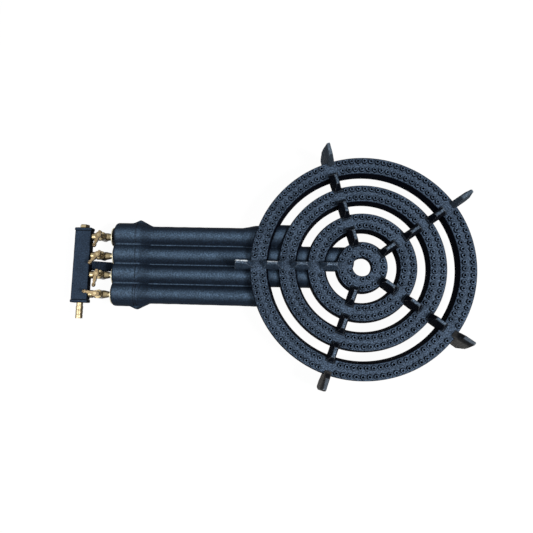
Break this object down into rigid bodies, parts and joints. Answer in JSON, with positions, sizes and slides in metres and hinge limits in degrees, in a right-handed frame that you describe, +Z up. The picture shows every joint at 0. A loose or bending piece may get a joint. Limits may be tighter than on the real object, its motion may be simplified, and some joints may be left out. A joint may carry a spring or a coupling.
{
  "type": "gas ring burner",
  "caption": "Free-standing cast-iron gas cooker with ported concentric rings, pan rests, legs, mixing tubes, a flat gas manifold, brass lever taps and round air shutters.",
  "frame": {"origin": "under the middle of the whole burner, on the plane that the feet stand on", "axes": "+Z up, +X from the gas manifold towards the rings, +Y to the left of someone at the taps"},
  "size_m": [0.6158, 0.3712, 0.11],
  "materials": {
    "cast_iron": "matt black-blue paint on a cast skin",
    "painted_steel": "matt black-blue paint",
    "brass": "machined",
    "plated_steel": "plated"
  },
  "bodies": {
    "burner": {"outer_ring_trough": "cast_iron", "outer_ring_cover": "cast_iron", "second_ring_trough": "cast_iron", "second_ring_cover": "cast_iron", "third_ring_trough": "cast_iron", "third_ring_cover": "cast_iron", "centre_ring_trough": "cast_iron", "centre_ring_cover": "cast_iron", "mixer_tubes": "cast_iron", "outer_pan_rests": "cast_iron", "middle_pan_rests": "cast_iron", "inner_pan_rests": "cast_iron", "front_pan_rest": "cast_iron", "leg_rear_left": "cast_iron", "leg_left": "cast_iron", "leg_front": "cast_iron", "leg_right": "cast_iron", "leg_rear_right": "cast_iron", "manifold_bar": "painted_steel", "manifold_cap_left": "painted_steel", "manifold_cap_right": "painted_steel", "manifold_strap": "painted_steel", "manifold_plug": "brass", "hose_barb": "brass", "strap_bolts": "plated_steel", "tap_1_body": "brass", "gas_jet_1": "brass", "tap_2_body": "brass", "gas_jet_2": "brass", "tap_3_body": "brass", "gas_jet_3": "brass", "tap_4_body": "brass", "gas_jet_4": "brass"},
    "tap_1": {"tap_1_lever": "brass", "tap_1_plug": "brass", "tap_1_spring_washer": "plated_steel", "tap_1_nut": "brass"},
    "shutter_1": {"air_shutter_1": "plated_steel"},
    "tap_2": {"tap_2_lever": "brass", "tap_2_plug": "brass", "tap_2_spring_washer": "plated_steel", "tap_2_nut": "brass"},
    "shutter_2": {"air_shutter_2": "plated_steel"},
    "tap_3": {"tap_3_lever": "brass", "tap_3_plug": "brass", "tap_3_spring_washer": "plated_steel", "tap_3_nut": "brass"},
    "shutter_3": {"air_shutter_3": "plated_steel"},
    "tap_4": {"tap_4_lever": "brass", "tap_4_plug": "brass", "tap_4_spring_washer": "plated_steel", "tap_4_nut": "brass"},
    "shutter_4": {"air_shutter_4": "plated_steel"}
  },
  "joints": [
    {"name": "tap_1_turn", "type": "hinge", "parent": "burner", "child": "tap_1", "pos_m": [-0.26215, 0.04295, 0.0415], "axis": [0, 0, 1], "range_deg": [-79, 11]},
    {"name": "shutter_1_travel", "type": "slide", "parent": "burner", "child": "shutter_1", "axis": [1, 0, 0], "range_m": [-0.0004, 0.0038]},
    {"name": "tap_2_turn", "type": "hinge", "parent": "burner", "child": "tap_2", "pos_m": [-0.26215, 0.01265, 0.0415], "axis": [0, 0, 1], "range_deg": [-59, 31]},
    {"name": "shutter_2_travel", "type": "slide", "parent": "burner", "child": "shutter_2", "axis": [1, 0, 0], "range_m": [-0.004, 0.0002]},
    {"name": "tap_3_turn", "type": "hinge", "parent": "burner", "child": "tap_3", "pos_m": [-0.26215, -0.01765, 0.0415], "axis": [0, 0, 1], "range_deg": [-89, 1]},
    {"name": "shutter_3_travel", "type": "slide", "parent": "burner", "child": "shutter_3", "axis": [1, 0, 0], "range_m": [-0.004, 0.0002]},
    {"name": "tap_4_turn", "type": "hinge", "parent": "burner", "child": "tap_4", "pos_m": [-0.26215, -0.04795, 0.0415], "axis": [0, 0, 1], "range_deg": [0, 90]},
    {"name": "shutter_4_travel", "type": "slide", "parent": "burner", "child": "shutter_4", "axis": [1, 0, 0], "range_m": [-0.004, 0.0002]}
  ]
}
